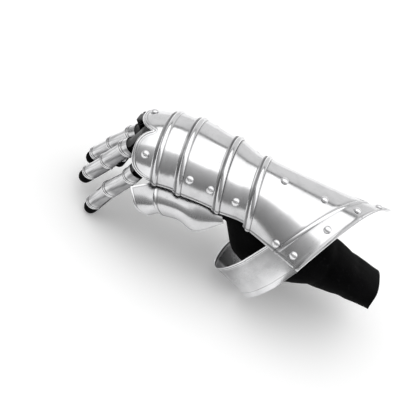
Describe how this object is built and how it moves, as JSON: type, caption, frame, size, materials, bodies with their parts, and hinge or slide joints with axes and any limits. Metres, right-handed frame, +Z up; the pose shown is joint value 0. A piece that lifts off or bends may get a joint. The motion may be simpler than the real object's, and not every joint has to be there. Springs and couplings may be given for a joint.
{
  "type": "armoured gauntlet",
  "caption": "Right-hand plate gauntlet: flared steel cuff, lames, knuckle plate, finger and thumb plates over a hollow suede glove.",
  "frame": {"origin": "middle of the bounding box's base, on the surface that the gauntlet rests on", "axes": "+X from the fingers to the elbow, +Z up out of the back of the hand, -Y to the thumb side"},
  "size_m": [0.381, 0.1616, 0.1687],
  "materials": {
    "polished_steel": "polished sheet steel with a raised, turned edge",
    "rivet_steel": "polished domed heads",
    "glove_suede": "black suede",
    "strap_leather": "black smooth leather"
  },
  "bodies": {
    "root": {"cuff_inner_plate": "polished_steel", "cuff_plate": "polished_steel", "glove": "glove_suede", "hand_lame": "polished_steel", "index_plate_1": "polished_steel", "index_plate_2": "polished_steel", "index_plate_3": "polished_steel", "index_strap": "strap_leather", "knuckle_lame": "polished_steel", "knuckle_plate": "polished_steel", "little_plate_1": "polished_steel", "little_plate_2": "polished_steel", "little_plate_3": "polished_steel", "little_strap": "strap_leather", "middle_plate_1": "polished_steel", "middle_plate_2": "polished_steel", "middle_plate_3": "polished_steel", "middle_strap": "strap_leather", "ring_plate_1": "polished_steel", "ring_plate_2": "polished_steel", "ring_plate_3": "polished_steel", "ring_strap": "strap_leather", "rivet_front_far": "rivet_steel", "rivet_front_near": "rivet_steel", "rivet_knuckle_far": "rivet_steel", "rivet_knuckle_near": "rivet_steel", "rivet_line_1": "rivet_steel", "rivet_line_2": "rivet_steel", "rivet_rear_far": "rivet_steel", "rivet_rear_near": "rivet_steel", "rivet_rim_1": "rivet_steel", "rivet_rim_2": "rivet_steel", "rivet_rim_3": "rivet_steel", "rivet_rim_4": "rivet_steel", "rivet_rim_5": "rivet_steel", "rivet_seam_far_1": "rivet_steel", "rivet_seam_far_2": "rivet_steel", "rivet_seam_near_1": "rivet_steel", "rivet_seam_near_2": "rivet_steel", "rivet_wrist_far": "rivet_steel", "rivet_wrist_near": "rivet_steel", "thumb_plate_1": "polished_steel", "thumb_plate_2": "polished_steel", "wrist_lame": "polished_steel"}
  },
  "joints": []
}
